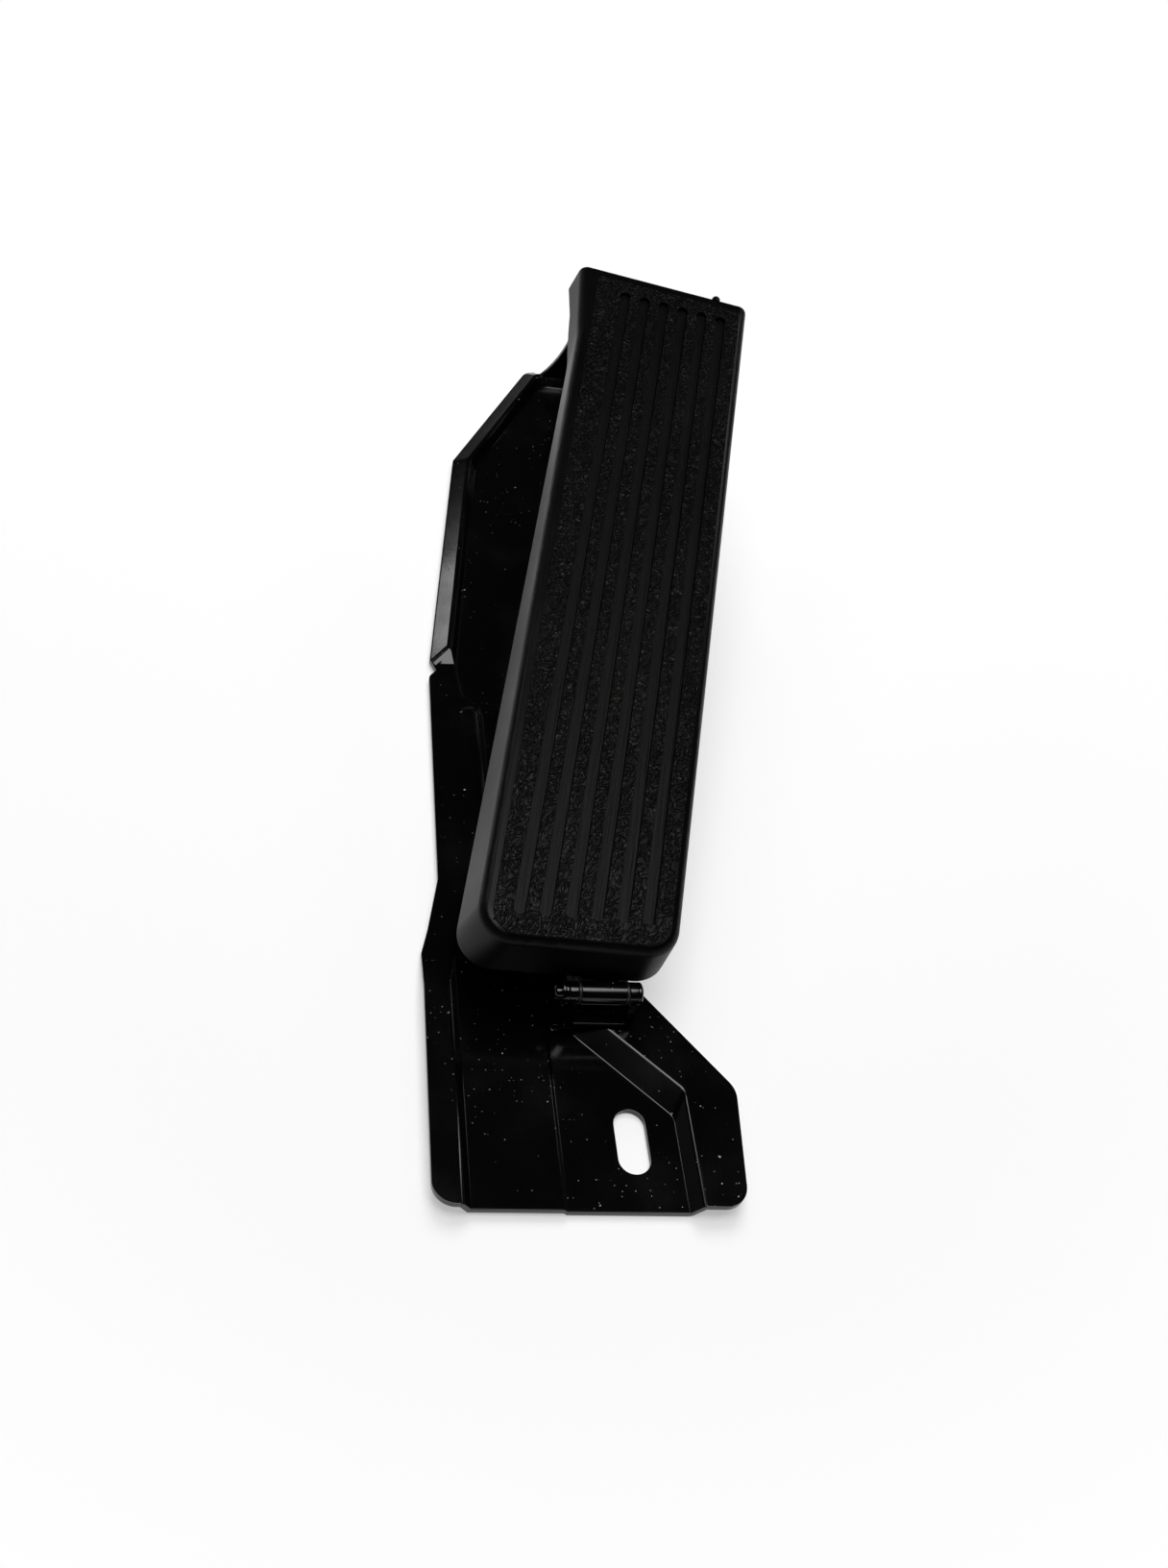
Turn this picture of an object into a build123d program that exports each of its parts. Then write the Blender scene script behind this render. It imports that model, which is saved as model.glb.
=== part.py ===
from build123d import *
from math import asin, cos, degrees, hypot, radians, sin, tan
import os

# Frame: origin at the centre of the foot slot on the mounting face, +X right, +Y up the pedal, +Z up.

# Sheet and levels of the stamped base (heights are measured from the top of the seat panel)
sheet = 2.0
bend_inside = 0.8
bend_outside = 1.8
rim_rise = 4.0
mid_rise = 1.0
bead_rise = 1.5
wall_growth = 0.8
deep = 20.0

# Foot of the base
slot_width = 9.0
slot_length = 19.2
foot_front = -20.2
foot_skew = 1.0
foot_left = -55.0
foot_lean = 0.8
foot_right = 29.8
foot_corner = 6.5
foot_shoulder_y = 14.0
foot_shoulder_radius = 7.5
waist_right = 3.6
waist_y = 51.5
waist_radius = 12.0
seat_left = -44.6
seat_right = 13.0
side_wall_run = 3.15
seat_diagonal_y = 7.4
platform_left = -13.6
platform_wall_run = 3.2
diagonal_run = 9.6
seat_corner = 4.0
step_x = -21.0
step_end_y = 36.0
step_slope = 1.0
ramp_start = 46.0
ramp_end = 58.5

# Middle of the base
kink_y = 59.5
waist_left = -52.8
waist_left_y = 68.0
mid_left_low = -48.9
mid_left_low_y = 87.0
mid_left = -47.7
mid_end_y = 175.0
notch_y = 178.2
notch_depth = 2.6
bead_x = -34.3
bead_width = 8.4
bead_start = 74.0
bead_end = 161.6

# Upper tray of the base (corners of the flat panel, then the rim round it)
tray_low_y = 163.8
tray_low_left = -36.0
tray_left = -38.2
tray_bend_y = 180.0
tray_corner_x = -23.6
tray_corner_y = 298.3
tray_top_left = 9.6
tray_top = 364.4
tray_right = 50.0
tray_right_y = 322.0
tray_low_right = 14.0
tray_corner = 7.0
wide_corner = 16.0
shallow_corner = 40.0
rim_corner = 4.0
top_corner = 7.0
rim_wall_run = 2.4
crest_width = 1.3
rim_run = 9.3
rim_edge_rise = 0.7
rim_start_y = 190.0

# Upturned tongue at the top of the tray
tongue_x = 30.0
tongue_half = 10.7
tongue_top = 50.0
tongue_corner = 8.0
tongue_root_half = 22.2
tongue_flare_top = 34.0
tongue_back = 368.8
cable_hole = 9.0
cable_hole_z = 42.5

# Second fastening hole, in the tray beside the lever
upper_hole_x = 40.0
upper_hole_y = 310.0
upper_hole = 9.0

# Pedal hinge
hinge_y = 38.3
hinge_z = 16.0
pedal_rest = 12.5
pedal_travel = 10.5
hinge_pin_dia = 4.0
hinge_pin_head_dia = 6.4
hinge_pin_head = 1.4
hinge_pin_tail = 2.0
pin_chamfer = 0.5
fixed_fit = 0.03
running_fit = 0.04
press_fit = 0.01
hinge_bush_dia = 5.2
hinge_bush_length = 6.0
hinge_flange_dia = 6.4
hinge_flange = 0.8
hinge_tube_dia = 6.8
hinge_tube_left = -13.1
hinge_tube_length = 13.0
hinge_side_gap = 0.15
ear_thickness = 2.4
ear_radius = 3.2
hinge_foot_front = 33.0
hinge_foot_back = 41.5
washer_thickness = 1.0
clip_thickness = 0.9
clip_wall = 1.8
clip_mouth = 0.7
side_play = 0.1

# Rubber pad, in the pad's own frame: x across, y along the pad, w above the hinge axis
pad_cant = 11.57
pad_face = 16.8
pad_skirt = 16.8
face_left = -46.0
face_toe_left = -50.2
face_toe_flare = 3.2
face_right = 10.3
face_heel = 5.6
skirt_left = -50.0
skirt_toe_left = -50.2
skirt_toe_flare = 7.0
skirt_right = 10.2
skirt_heel = 3.9
pad_heel_skew = 8.0
pad_top = 273.3
pad_top_skew = 2.0
pad_heel_radius = 10.0
pad_bend_radius = 60.0
pad_rim_radius = 3.5
pad_toe_radius = 1.8
pad_wall = 4.0
pad_lip = 3.5
pad_inner_radius = 1.0
field_left = -42.6
field_toe_left = -46.0
field_toe_flare = 0.5
field_right = 7.2
field_heel = 7.6
field_toe_margin = 4.5
field_heel_radius = 7.0
field_toe_radius = 2.0
field_rise = 0.4
groove_count = 6
groove_pitch = 7.2
groove_width = 3.6
groove_depth = 1.5
groove_first = -35.6
groove_heel = 13.9
groove_heel_skew = 8.5
groove_toe_margin = 10.0
toe_bend_y = 238.0
toe_rise_start = 242.0
toe_rise_end = 256.0
toe_depth = 11.5
nub_dia = 3.0
nub_x = -1.8
nub_length = 1.8

# Steel plate in the pad, strap to the hinge and roller track
plate_thickness = 2.0
plate_top = 8.5
strap_side = 0.7
strap_low = -2.8
strap_back = 16.0
strap_fold = 1.0
track_thickness = 1.5
track_width = 13.0
track_start = 155.0
track_length = 50.0

# Throttle lever
lever_x = 30.0
lever_y = 342.0
lever_z = 15.0
lever_length = 130.0
lever_thickness = 4.0
lever_eye = 10.0
lever_tip = 7.0
cable_arm = 28.0
cable_arm_tip = 6.0
cable_eye = 6.0
cable_slot = 2.4
boss_dia = 14.0
boss_lead = 6.0
boss_length = 18.0
lever_bush_dia = 10.0
lever_bush_length = 7.0
lever_flange_dia = 13.0
lever_flange = 1.0
lever_pin_dia = 8.0
lever_pin_head_dia = 12.0
lever_pin_head = 2.5
lever_pin_tail = 2.6
lever_side_gap = 0.2
lever_ear = 2.5
lever_ear_radius = 8.0
lever_foot_front = 330.0
lever_foot_back = 354.0
roller_dia = 14.0
roller_width = 9.0
roller_pin_dia = 6.0
roller_pin_head_dia = 9.0
roller_pin_head = 1.5
roller_play = 0.25
roller_gap = 1.1

# Return spring
spring_wire = 1.8
spring_sides = 8
spring_inside = 15.0
spring_pitch = 2.0
spring_full_turns = 4
spring_leg = 34.0
spring_lean = 6.0
spring_foot = 11.5
spring_foot_slope = 6.0

# Stops
bolt_dia = 8.0
bolt_flats = 13.0
bolt_head = 5.3
bolt_nut = 6.5
weld_nut_height = 6.0
stop_x = 0.0
stop_y = 200.0
stop_gap = 0.3
bolt_end = 0.6
screw_dia = 6.0
screw_flats = 10.0
screw_nut = 5.0
screw_z = 29.0
screw_tail = 6.5
screw_chamfer = 1.2

seat_top = sheet
mid_top = seat_top + mid_rise
rim_top = seat_top + rim_rise
pad_foot = pad_face - pad_skirt
ON_BASE = (Align.CENTER, Align.MIN)


def grown(corners, grow):
    """Corners (counter-clockwise) with every side moved out by grow."""
    moved = []
    for here in range(len(corners)):
        (ax, ay), (bx, by), (cx, cy) = (corners[(here + step) % len(corners)] for step in (-1, 0, 1))
        ux, uy = (bx - ax) / hypot(bx - ax, by - ay), (by - ay) / hypot(bx - ax, by - ay)
        vx, vy = (cx - bx) / hypot(cx - bx, cy - by), (cy - by) / hypot(cx - bx, cy - by)
        share = grow / (1 + ux * vx + uy * vy)
        moved.append((bx + (uy + vy) * share, by - (ux + vx) * share))
    return moved


def face_of(corners):
    """Plan face through sharp corners."""
    return Polygon(*corners, align=None)


def rounded(corners):
    """Plan face through corners (x, y, radius)."""
    face = face_of([(x, y) for x, y, _ in corners])
    for x, y, radius in corners:
        if radius:
            face = fillet(face.vertices().sort_by_distance((x, y, 0))[0], radius)
    return face


def flared(low, high, z, rise, radii):
    """Solid with plane sides from corners low at z to corners high at z + rise, its side edges rounded."""
    bottom = [(x, y, z) for x, y in low]
    top = [(x, y, z + rise) for x, y in high]
    faces = [Face(Wire.make_polygon(loop)) for loop in (bottom, top)]
    for here in range(len(low)):
        ahead = (here + 1) % len(low)
        faces.append(Face(Wire.make_polygon([bottom[here], bottom[ahead], top[ahead], top[here]])))
    solid = Solid(Shell(faces))
    for (x, y, _), (u, v, _), radius in zip(bottom, top, radii):
        middle = ((x + u) / 2, (y + v) / 2, z + rise / 2)
        solid = fillet(solid.edges().sort_by_distance(middle)[0], radius)
    return solid


def pressed_down(low, high, z, rise, radii, fold, crown):
    """Cutter for a pressed recess with bend radius fold at its floor and crown at its upper edge."""
    pit = flared(low, high, z, rise, radii)
    pit = fillet(pit.faces().sort_by(Axis.Z)[0].edges(), fold)
    cutter = pit + Pos(0, 0, z + rise) * extrude(face_of(grown(high, deep)), deep)
    ledge = cutter.faces().filter_by(Plane.XY).sort_by(Axis.Z)[1]
    return fillet(ledge.inner_wires()[0].edges(), crown)


def pressed_up(low, high, z, rise, radii, crown):
    """Raised panel with sloping sides and bend radius crown along its upper edge."""
    hill = flared(low, high, z, rise, radii)
    return fillet(hill.faces().sort_by(Axis.Z)[-1].edges(), crown)


def hexagon(flats, height, z):
    """Hexagonal prism standing on z."""
    return Pos(0, 0, z) * extrude(RegularPolygon(flats / 2, 6, major_radius=False), height)


def along_x(shape, x):
    """Turn a shape built up +Z so that it runs along +X from x."""
    return Pos(x, 0, 0) * Rot(0, 90, 0) * shape


def rod(dia, length):
    """Cylinder standing on z = 0."""
    return extrude(Circle(dia / 2), length)


def ring(outer, inner, length):
    """Tube standing on z = 0."""
    return extrude(Circle(outer / 2) - Circle(inner / 2), length)


def seat_corners(out):
    """Corners of the seat recess: at its floor with out 0, at its upper edge with out 1."""
    left = seat_left - side_wall_run * out
    right = seat_right + side_wall_run * out
    inner = platform_left + platform_wall_run * out
    reach = seat_right + seat_diagonal_y + diagonal_run * out
    front, far = foot_front - deep, ramp_end + deep
    return [
        (left, front),
        (right, front),
        (right, reach - right),
        (inner, reach - inner),
        (inner, far),
        (left, far),
    ]


def tray_corners():
    """Corners of the flat panel of the upper tray."""
    return [
        (tray_low_left, tray_low_y),
        (tray_low_right, tray_low_y),
        (tray_right, tray_right_y),
        (tray_right, tray_top),
        (tray_top_left, tray_top),
        (tray_corner_x, tray_corner_y),
        (tray_left, tray_bend_y),
    ]


def tray_left_at(y):
    """Left side of the tray panel above its bend."""
    return tray_left + (tray_corner_x - tray_left) * (y - tray_bend_y) / (tray_corner_y - tray_bend_y)


def tray_right_at(y):
    """Right side of the tray panel below its corner."""
    return tray_low_right + (tray_right - tray_low_right) * (y - tray_low_y) / (tray_right_y - tray_low_y)


def rim_corners():
    """Corners that the rim is set out from: the tray panel cut off at the start of the rim."""
    start = rim_start_y
    return [(tray_left_at(start), start), (tray_right_at(start), start), *tray_corners()[2:6]]


def step_corners(front, far):
    """Corners of the part of the base that stands mid_rise above the seat panel."""
    wide = 4 * deep
    return [
        (-wide, front),
        (step_x, front),
        (step_x, step_end_y),
        (wide, step_end_y),
        (wide, far),
        (-wide, far),
    ]


def stiffening_bead():
    """Long round bead standing bead_rise above z = 0, from bead_start to bead_end."""
    radius = (bead_width**2 / 4 + bead_rise**2) / (2 * bead_rise)
    run = bead_end - bead_start - bead_width
    bead = rod(2 * radius, run) + Sphere(radius) + Pos(0, 0, run) * Sphere(radius)
    return Pos(bead_x, bead_start + bead_width / 2, bead_rise - radius) * Rot(-90, 0, 0) * bead


def under_surface(drop, grow, fold, crown):
    """Everything below the stamped surface, lowered by drop.

    grow moves the walls sideways to keep the sheet even, fold and crown are the bend radii
    at the foot and at the top of each wall.
    """
    top, mid, seat = rim_top - drop, mid_top - drop, seat_top - drop
    front, far = foot_front - deep, tray_top + deep
    side = [(front, -deep), (far, -deep), (far, mid), (ramp_end, mid), (ramp_start, top), (front, top)]
    body = extrude(Plane.YZ * face_of(side), 4 * deep, both=True)
    floor, brim = grown(seat_corners(0), grow), grown(seat_corners(1), grow)
    body -= pressed_down(floor, brim, seat, rim_rise, [seat_corner] * len(floor), fold, crown)
    step = step_corners(front - deep, far)
    depth = 2 * rim_rise
    spread = grown(step, step_slope * depth)
    body += flared(spread, step, mid - mid_rise * depth, mid_rise * depth, [seat_corner] * len(step))
    crest = rim_wall_run + crest_width
    fall = (rim_run - crest) / (rim_rise - rim_edge_rise)
    rim = grown(rim_corners(), crest - grow)
    rim_radii = [rim_corner, rim_corner, shallow_corner, tray_corner, tray_corner, wide_corner]
    body += pressed_up(grown(rim, depth * fall), rim, top - depth, depth, rim_radii, crown)
    panel = grown(tray_corners(), grow)
    tray_radii = [tray_corner, tray_corner, *rim_radii[2:], shallow_corner]
    body -= pressed_down(panel, grown(panel, rim_wall_run), seat, rim_rise, tray_radii, fold, crown)
    return body + Pos(0, 0, mid) * stiffening_bead()


def outline():
    """Cut edge of the stamping in plan; behind the tongue the rim is left off."""
    tray_radii = [rim_corner, rim_corner, top_corner, top_corner, rim_corner]
    tray = [(x, y, radius) for (x, y), radius in zip(grown(tray_corners(), rim_run)[1:6], tray_radii)]
    foot = [
        (foot_left - foot_lean, foot_front + foot_skew, foot_corner),
        (foot_right - 2 * foot_lean, foot_front - foot_skew, foot_corner),
        (foot_right + 2 * foot_lean, foot_shoulder_y, foot_shoulder_radius),
        (waist_right, waist_y, waist_radius),
    ]
    notch_top = notch_y + 2 * notch_depth
    left = [
        (tray_left_at(notch_top) - rim_run, notch_top, notch_depth / 2),
        (mid_left + notch_depth, notch_y, notch_depth / 2),
        (mid_left, mid_end_y, notch_depth),
        (mid_left_low, mid_left_low_y, foot_corner),
        (waist_left, waist_left_y, foot_corner / 2),
        (foot_left, kink_y, foot_corner / 3),
    ]
    behind = Pos(tongue_x, tongue_back) * Rectangle(2 * tongue_root_half, 2 * rim_run, align=ON_BASE)
    return rounded([*foot, *tray, *left]) - behind


def tongue():
    """Upturned tongue at the top of the tray, its foot flaring out to both sides."""
    root = rim_top - sheet
    spread, rise = tongue_root_half - tongue_half, tongue_flare_top - root
    flare_radius = (spread**2 + rise**2) / (2 * spread)
    face = Pos(tongue_x, root) * Rectangle(2 * tongue_half, tongue_top - root, align=ON_BASE)
    face = fillet(face.vertices().group_by(Axis.Y)[-1], tongue_corner)
    face += Pos(tongue_x, root) * Rectangle(2 * tongue_root_half, rise, align=ON_BASE)
    for side in (-1, 1):
        face -= Pos(tongue_x + side * (tongue_half + flare_radius), tongue_flare_top) * Circle(flare_radius)
    face -= Pos(tongue_x, cable_hole_z) * Circle(cable_hole / 2)
    face -= Pos(tongue_x, screw_z) * Circle(screw_dia / 2 + fixed_fit)
    return Pos(0, tongue_back, 0) * extrude(Plane.XZ * face, sheet)


def base_bracket():
    """One stamping: foot, waist, tray and tongue, with its slot and holes."""
    base = under_surface(0.0, 0.0, bend_inside, bend_outside)
    base -= under_surface(sheet, wall_growth, bend_outside, bend_inside)
    base &= extrude(Pos(0, 0, -deep) * outline(), 2 * deep)
    base += tongue()
    holes = SlotOverall(slot_length, slot_width, rotation=90)
    holes += Pos(upper_hole_x, upper_hole_y) * Circle(upper_hole / 2)
    holes += Pos(stop_x, stop_y) * Circle(bolt_dia / 2 + fixed_fit)
    return base - extrude(Pos(0, 0, -deep) * holes, 2 * deep)


def eared_bracket(left, right, thickness, front, back, floor, axis, radius, hole):
    """U bracket on floor: a plate from left to right with an ear about axis (y, z) at both ends."""
    plate = Pos(left, front, floor) * Box(right - left, back - front, thickness, align=Align.MIN)
    y, z = axis
    neck = [
        (front, floor),
        (back, floor),
        (back, floor + thickness),
        (y + radius, z),
        (y - radius, z),
        (front, floor + thickness),
    ]
    ear = face_of(neck) + Pos(y, z) * Circle(radius) - Pos(y, z) * Circle(hole / 2)
    for x in (left, right - thickness):
        plate += Pos(x, 0, 0) * extrude(Plane.YZ * ear, thickness)
    return plate


def at_hinge(shape):
    """Move a shape built about the hinge axis into the base."""
    return Pos(0, hinge_y, hinge_z) * shape


def on_pedal(shape):
    """Move a shape built with the pedal level at the hinge axis to the rest position."""
    return at_hinge(Rot(pedal_rest, 0, 0) * shape)


def bush(outer, inner, length, flange_dia, flange):
    """Flanged bush standing on its flange."""
    return ring(flange_dia, inner, flange) + Pos(0, 0, flange) * ring(outer, inner, length)


def bush_pair(outer, inner, length, flange_dia, flange, start, span):
    """Two flanged bushes pushed into the ends of a tube that runs from start along X."""
    one = bush(outer, inner, length, flange_dia, flange)
    left = along_x(one, start - flange)
    right = Pos(start + span + flange, 0, 0) * Rot(0, -90, 0) * one
    return Compound([left, right])


def headed_pin(dia, length, head_dia, head):
    """Pin standing on z = 0 with its head on top, both ends chamfered."""
    pin = rod(dia, length) + Pos(0, 0, length) * rod(head_dia, head)
    ends = pin.edges().group_by(Axis.Z)
    return chamfer([*ends[0], *ends[-1]], pin_chamfer)


def open_clip(dia, thickness):
    """Snap ring for a pin of dia: a ring with a gap."""
    clip = ring(dia + 2 * clip_wall, dia + 2 * fixed_fit, thickness)
    return clip - Pos(0, -dia, 0) * Box(dia * clip_mouth, 2 * dia, 2 * dia)


def edge_y(x, level, skew):
    """Height of a pad end at x across the pad, for an end that is skew degrees off square."""
    return level + tan(radians(skew)) * x


def pad_outline(left, toe_left, flare, right, heel, toe):
    """Corners of the pad at one level: heel, toe and the bend where its left side flares to the toe."""
    return [
        (left, edge_y(left, heel, pad_heel_skew)),
        (right, edge_y(right, heel, pad_heel_skew)),
        (right, edge_y(right, toe, pad_top_skew)),
        (toe_left - flare, edge_y(toe_left - flare, toe, pad_top_skew)),
        (toe_left, toe_bend_y),
    ]


def pad_plan(level, inset=0.0):
    """Plan face of the pad at a height above the hinge axis, its sides moved in by inset."""
    skirt = pad_outline(skirt_left, skirt_toe_left, skirt_toe_flare, skirt_right, skirt_heel, pad_top)
    face = pad_outline(face_left, face_toe_left, face_toe_flare, face_right, face_heel, pad_top)
    share = (level - pad_foot) / pad_skirt
    corners = [(a + (c - a) * share, b + (d - b) * share) for (a, b), (c, d) in zip(skirt, face)]
    toe_radius = pad_inner_radius if inset else 0
    radii = [pad_heel_radius - inset, pad_heel_radius - inset, toe_radius, toe_radius, pad_bend_radius]
    return rounded([(x, y, radius) for (x, y), radius in zip(grown(corners, -inset), radii)])


def pad_slab(inset, low, high):
    """Solid over the pad plan at the plate, moved in by inset, between two heights."""
    return Pos(0, 0, low) * extrude(pad_plan(plate_top, inset), high - low)


def pad_body():
    """Outside of the pad: walls leaning out to the skirt, soft rim, sharper toe edge, shallow toe."""
    levels = (pad_foot, pad_face)
    body = loft([Pos(0, 0, level) * pad_plan(level) for level in levels], ruled=True)
    rim = body.faces().sort_by(Axis.Z)[-1].edges().sort_by(Axis.Y)[:-1]
    body = fillet(rim, pad_rim_radius)
    toe = body.faces().sort_by(Axis.Y)[-1].edges().sort_by(Axis.Z)[1:]
    body = fillet(toe, pad_toe_radius)
    far, shallow = pad_top + deep, pad_face - toe_depth
    below = face_of(
        [
            (toe_rise_start, pad_foot - deep),
            (far, pad_foot - deep),
            (far, shallow),
            (toe_rise_end, shallow),
            (toe_rise_start, pad_foot),
        ]
    )
    return body - extrude(Plane.YZ * below, pad_top, both=True)


def tread_field():
    """Raised field of the tread, carried down to the foot of the rim so that the two join."""
    toe = pad_top - field_toe_margin
    corners = pad_outline(field_left, field_toe_left, field_toe_flare, field_right, field_heel, toe)
    radii = [field_heel_radius, field_heel_radius, field_toe_radius, field_toe_radius, pad_bend_radius]
    plan = rounded([(x, y, radius) for (x, y), radius in zip(corners, radii)])
    return Pos(0, 0, pad_face - pad_rim_radius) * extrude(plan, pad_rim_radius + field_rise)


def rubber_pad():
    """The moulded pad: rounded rim, raised tread field with six grooves, skirt and lip round the plate."""
    body = pad_body() + tread_field()
    tread = pad_face + field_rise
    for number in range(groove_count):
        x = groove_first + number * groove_pitch
        low = edge_y(x, groove_heel, groove_heel_skew)
        high = edge_y(x, pad_top, pad_top_skew) - groove_toe_margin
        slot = SlotOverall(high - low, groove_width, rotation=90)
        body -= Pos(x, (low + high) / 2, tread - groove_depth) * extrude(slot, 2 * groove_depth)
    nub = Rot(-90, 0, 0) * rod(nub_dia, 2 * nub_length)
    nub_y = edge_y(nub_x, pad_top, pad_top_skew) - nub_length
    body += Pos(nub_x, nub_y, pad_face - pad_toe_radius - nub_dia / 2) * nub
    plate_under = plate_top - plate_thickness
    body -= pad_slab(pad_wall, plate_under, plate_top)
    body -= pad_slab(pad_wall + pad_lip, -deep, plate_under)
    return Rot(0, 0, -pad_cant) * body


def strap_profile():
    """Side face of the strap that runs from the hinge tube under the heel of the pad up to the plate."""
    inner = strap_back - plate_thickness
    return rounded(
        [
            (0, strap_low, 0),
            (strap_back, strap_low, strap_fold + plate_thickness),
            (strap_back, plate_top, 0),
            (inner, plate_top, 0),
            (inner, strap_low + plate_thickness, strap_fold),
            (0, strap_low + plate_thickness, 0),
        ]
    )


def pedal_plate():
    """Steel plate in the pad with the strap that is welded to the hinge tube."""
    plate = Rot(0, 0, -pad_cant) * pad_slab(pad_wall, plate_top - plate_thickness, plate_top)
    strap = extrude(Plane.YZ * strap_profile(), hinge_tube_length - 2 * strap_side)
    plate += Pos(hinge_tube_left + strap_side, 0, 0) * strap
    return plate - along_x(rod(hinge_tube_dia, 4 * hinge_tube_length), -2 * hinge_tube_length)


def lever_rest():
    """Angle of the roller arm from +Y at rest, set by the roller just under the track."""
    across, up = lever_y - hinge_y, lever_z - hinge_z
    tilt = radians(pedal_rest)
    pivot_height = up * cos(tilt) - across * sin(tilt)
    roller_height = plate_top - plate_thickness - track_thickness - roller_dia / 2 - roller_gap
    return pedal_rest + 180 - degrees(asin((roller_height - pivot_height) / lever_length))


lever_angle = lever_rest()
spring_arm_angle = lever_angle + spring_lean
spring_turns = spring_full_turns - (180 + spring_foot_slope + 180 - spring_arm_angle) / 360
roller_x = lever_x - lever_thickness / 2 - washer_thickness - roller_play - roller_width


def at_lever(shape):
    """Move a shape built about the lever pivot into the base."""
    return Pos(0, lever_y, lever_z) * shape


def on_lever(shape):
    """Turn a shape built with the roller arm along +Y to the rest position."""
    return at_lever(Rot(lever_angle, 0, 0) * shape)


def link(start_radius, end, end_radius):
    """Tapered link face between a circle at the origin and one at end."""
    eye = Circle(start_radius)
    tip = Pos(*end) * Circle(end_radius)
    return make_hull([*eye.edges(), *tip.edges()])


def throttle_lever():
    """Flat bell crank: roller arm along +Y and cable arm with its eye and entry slot."""
    turn = radians(90 - lever_angle)
    cable_end = (cable_arm * cos(turn), cable_arm * sin(turn))
    face = link(lever_eye, (lever_length, 0), lever_tip) + link(lever_eye, cable_end, cable_arm_tip)
    face -= Circle(boss_dia / 2 + press_fit)
    face -= Pos(lever_length, 0) * Circle(roller_pin_dia / 2 + press_fit)
    face -= Pos(*cable_end) * Circle(cable_eye / 2)
    lean = radians(spring_lean)
    mean = (spring_inside + spring_wire) / 2
    hook = (spring_leg * cos(lean) + mean * sin(lean), spring_leg * sin(lean) - mean * cos(lean))
    face -= Pos(*hook) * Circle(spring_wire / 2 + side_play)
    entry = Rectangle(2 * cable_arm_tip, cable_slot, align=(Align.MIN, Align.CENTER))
    face -= Pos(*cable_end) * Rot(0, 0, degrees(turn)) * entry
    return Pos(lever_x - lever_thickness / 2, 0, 0) * extrude(Plane.YZ * face, lever_thickness)


def wire_between(start, end):
    """Straight piece of spring wire, half a wire longer than the run at both ends."""
    run = Vector(*end) - Vector(*start)
    wire = RegularPolygon(spring_wire / 2, spring_sides)
    half = spring_wire / 2
    return Plane(start, z_dir=run) * Pos(0, 0, -half) * extrude(wire, run.length + 2 * half)


def return_spring():
    """Torsion spring on the boss: one leg hooks into the roller arm, the other bears on the bracket."""
    mean = (spring_inside + spring_wire) / 2
    near = lever_x + lever_thickness / 2 + spring_wire
    far = near + spring_turns * spring_pitch
    arm_turn, foot_turn = radians(spring_arm_angle), radians(spring_foot_slope)
    coil = Helix(spring_pitch, spring_turns * spring_pitch, mean, lefthand=True)
    wire = Plane(coil @ 0, z_dir=coil % 0) * RegularPolygon(spring_wire / 2, spring_sides)
    body = sweep(wire, path=coil, is_frenet=True)
    body = Pos(near, 0, 0) * Rot(0, 90, 0) * Rot(0, 0, spring_arm_angle) * body
    top = (near, mean * sin(arm_turn), mean * -cos(arm_turn))
    hook = (near, top[1] + spring_leg * cos(arm_turn), top[2] + spring_leg * sin(arm_turn))
    low = (far, mean * sin(foot_turn), -mean * cos(foot_turn))
    rest = (far, low[1] - spring_foot * cos(foot_turn), low[2] - spring_foot * sin(foot_turn))
    body += wire_between(hook, top)
    body += wire_between((lever_x - lever_thickness / 2, hook[1], hook[2]), hook)
    return body + wire_between(rest, low)


parts = {"base_bracket": base_bracket()}

ear_left = hinge_tube_left - hinge_flange - hinge_side_gap - ear_thickness
ear_right = hinge_tube_left + hinge_tube_length + hinge_flange + hinge_side_gap + ear_thickness
parts["hinge_bracket"] = eared_bracket(
    ear_left, ear_right, ear_thickness, hinge_foot_front, hinge_foot_back, rim_top,
    (hinge_y, hinge_z), ear_radius, hinge_pin_dia + 2 * fixed_fit,
)
hinge_washer_x = ear_left - side_play - washer_thickness
hinge_clip_x = hinge_washer_x - side_play - clip_thickness
hinge_pin_start = hinge_clip_x - hinge_pin_tail
hinge_pin = headed_pin(hinge_pin_dia, ear_right - hinge_pin_start, hinge_pin_head_dia, hinge_pin_head)
parts["hinge_pin"] = at_hinge(along_x(hinge_pin, hinge_pin_start))
parts["hinge_washer"] = at_hinge(
    along_x(ring(hinge_pin_head_dia, hinge_pin_dia + 2 * fixed_fit, washer_thickness), hinge_washer_x)
)
parts["hinge_clip"] = at_hinge(along_x(open_clip(hinge_pin_dia, clip_thickness), hinge_clip_x))
parts["hinge_tube"] = on_pedal(
    along_x(ring(hinge_tube_dia, hinge_bush_dia + 2 * press_fit, hinge_tube_length), hinge_tube_left)
)
parts["hinge_bushes"] = on_pedal(
    bush_pair(
        hinge_bush_dia, hinge_pin_dia + 2 * running_fit, hinge_bush_length, hinge_flange_dia, hinge_flange,
        hinge_tube_left, hinge_tube_length,
    )
)
parts["rubber_pad"] = on_pedal(rubber_pad())
parts["pedal_plate"] = on_pedal(pedal_plate())
parts["roller_track"] = on_pedal(
    Pos(roller_x + roller_width / 2, track_start, plate_top - plate_thickness)
    * Box(track_width, track_length, track_thickness, align=(Align.CENTER, Align.MIN, Align.MAX))
)

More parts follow.
